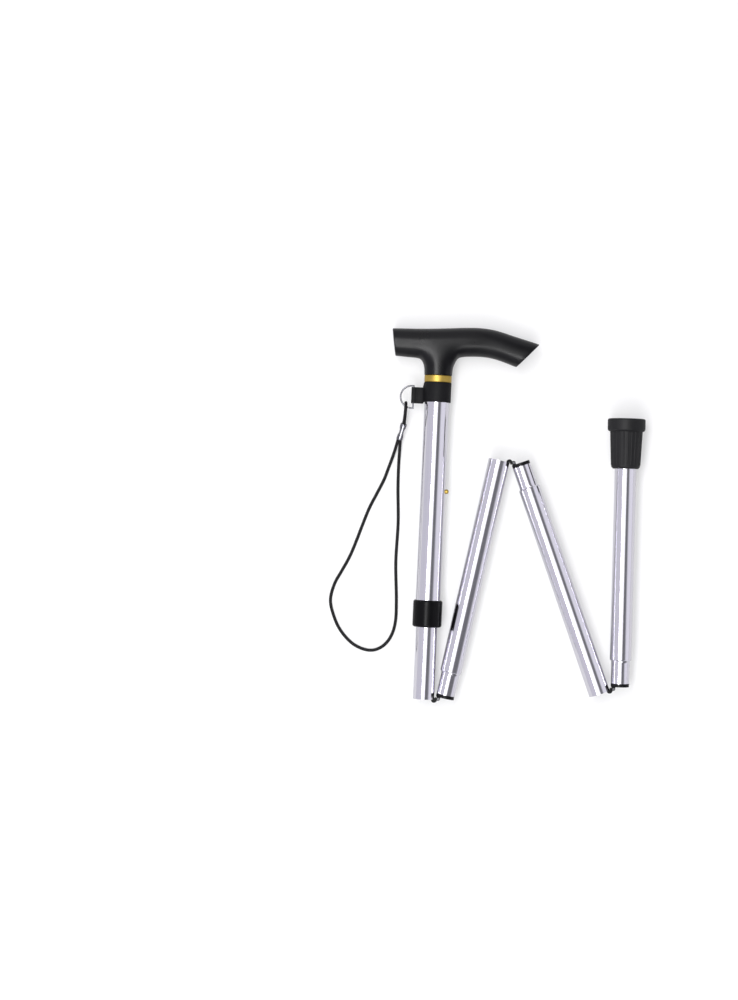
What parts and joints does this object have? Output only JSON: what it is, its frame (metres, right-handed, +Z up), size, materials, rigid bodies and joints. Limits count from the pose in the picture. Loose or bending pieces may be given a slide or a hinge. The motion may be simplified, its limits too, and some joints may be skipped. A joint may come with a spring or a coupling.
{
  "type": "folding walking cane",
  "caption": "Folding walking cane with a T handle, wrist cord, lock collar, button height setting, spring strap hinges between its tubes and a rubber foot, laid flat in a W.",
  "frame": {"origin": "middle of the folded cane on the surface that it lies on, the loose cord left out", "axes": "+Z up out of the plane of the fold, +Y along the upper tube towards the handle, +X from the wrist cord towards the foot"},
  "size_m": [0.2747, 0.3346, 0.0335],
  "materials": {
    "handle_plastic": "satin",
    "gold_metal": "polished",
    "tube_aluminium": "anodised satin",
    "webbing": "woven",
    "ring_chrome": "polished",
    "cord_black": "braided",
    "collar_plastic": "gloss",
    "nylon": "matte",
    "cap_plastic": "satin",
    "strap_rubber": "matte",
    "steel": "bright",
    "foot_rubber": "matte"
  },
  "bodies": {
    "handle_section": {"handle": "handle_plastic", "trim_ring": "gold_metal", "handle_pin": "steel", "outer_tube": "tube_aluminium", "strap_band": "webbing", "thread_sleeve": "nylon", "cord_crimp": "ring_chrome", "wrist_cord": "cord_black", "ring_loop": "cord_black"},
    "ring": {"d_ring": "ring_chrome"},
    "collar": {"lock_collar": "collar_plastic"},
    "lower_shaft": {"inner_tube": "tube_aluminium", "guide_bush": "nylon", "button_spring": "steel", "spring_anchor_1": "nylon", "return_spring_1": "steel"},
    "button": {"snap_button": "gold_metal"},
    "carriage_1": {"strap_slider_1": "nylon", "hinge_strap_1": "strap_rubber"},
    "section_2": {"tube_2": "tube_aluminium", "hinge_cap_1": "cap_plastic", "hinge_rivet_1": "steel", "spring_anchor_2": "nylon", "return_spring_2": "steel"},
    "carriage_2": {"strap_slider_2": "nylon", "hinge_strap_2": "strap_rubber"},
    "section_3": {"tube_3": "tube_aluminium", "hinge_cap_2": "cap_plastic", "hinge_rivet_2": "steel", "spring_anchor_3": "nylon", "return_spring_3": "steel"},
    "carriage_3": {"strap_slider_3": "nylon", "hinge_strap_3": "strap_rubber"},
    "section_4": {"tube_4": "tube_aluminium", "hinge_cap_3": "cap_plastic", "hinge_rivet_3": "steel", "foot": "foot_rubber", "foot_washer": "steel"}
  },
  "joints": [
    {"name": "collar_twist", "type": "hinge", "parent": "handle_section", "child": "collar", "pos_m": [-0.071, -0.088, 0.01675], "axis": [0, 1, 0], "range_deg": [0, 180]},
    {"name": "ring_swing", "type": "hinge", "parent": "handle_section", "child": "ring", "pos_m": [-0.0922, 0.1039, 0.01675], "axis": [0, 1, 0], "range_deg": [-80, 80], "deforming": ["ring_loop"]},
    {"name": "height", "type": "slide", "parent": "handle_section", "child": "lower_shaft", "axis": [0, -1, 0], "range_m": [-0.0254, 0.0508]},
    {"name": "button_press", "type": "slide", "parent": "lower_shaft", "child": "button", "axis": [1, 0, 0], "range_m": [-0.0044, 0], "stiffness_N_per_m": 600, "springref_m": 0.002, "deforming": ["button_spring"]},
    {"name": "pull_1", "type": "slide", "parent": "lower_shaft", "child": "carriage_1", "axis": [0, -1, 0], "range_m": [-0.0251, 0], "deforming": ["return_spring_1", "hinge_strap_1"]},
    {"name": "fold_1", "type": "hinge", "parent": "carriage_1", "child": "section_2", "pos_m": [-0.0618, -0.1644, 0.01675], "axis": [0, 0, 1], "range_deg": [-169.7, 4.3], "deforming": ["hinge_strap_1"]},
    {"name": "pull_2", "type": "slide", "parent": "section_2", "child": "carriage_2", "axis": [0.1788, 0.9839, 0], "range_m": [-0.0251, 0], "deforming": ["return_spring_2", "hinge_strap_2"]},
    {"name": "fold_2", "type": "hinge", "parent": "carriage_2", "child": "section_3", "pos_m": [-0.0042, 0.04965, 0.01675], "axis": [0, 0, -1], "range_deg": [-148.2, 27.8], "deforming": ["hinge_strap_2"]},
    {"name": "pull_3", "type": "slide", "parent": "section_3", "child": "carriage_3", "axis": [0.3665, -0.9304, 0], "range_m": [-0.0251, 0], "deforming": ["return_spring_3", "hinge_strap_3"]},
    {"name": "fold_3", "type": "hinge", "parent": "carriage_3", "child": "section_4", "pos_m": [0.09388, -0.14914, 0.01675], "axis": [0, 0, 1], "range_deg": [-159.6, 16.4], "deforming": ["hinge_strap_3"]}
  ],
  "couplings": [
    {"joint": "fold_2", "follows": "fold_1", "ratio": 0.8733}
  ]
}
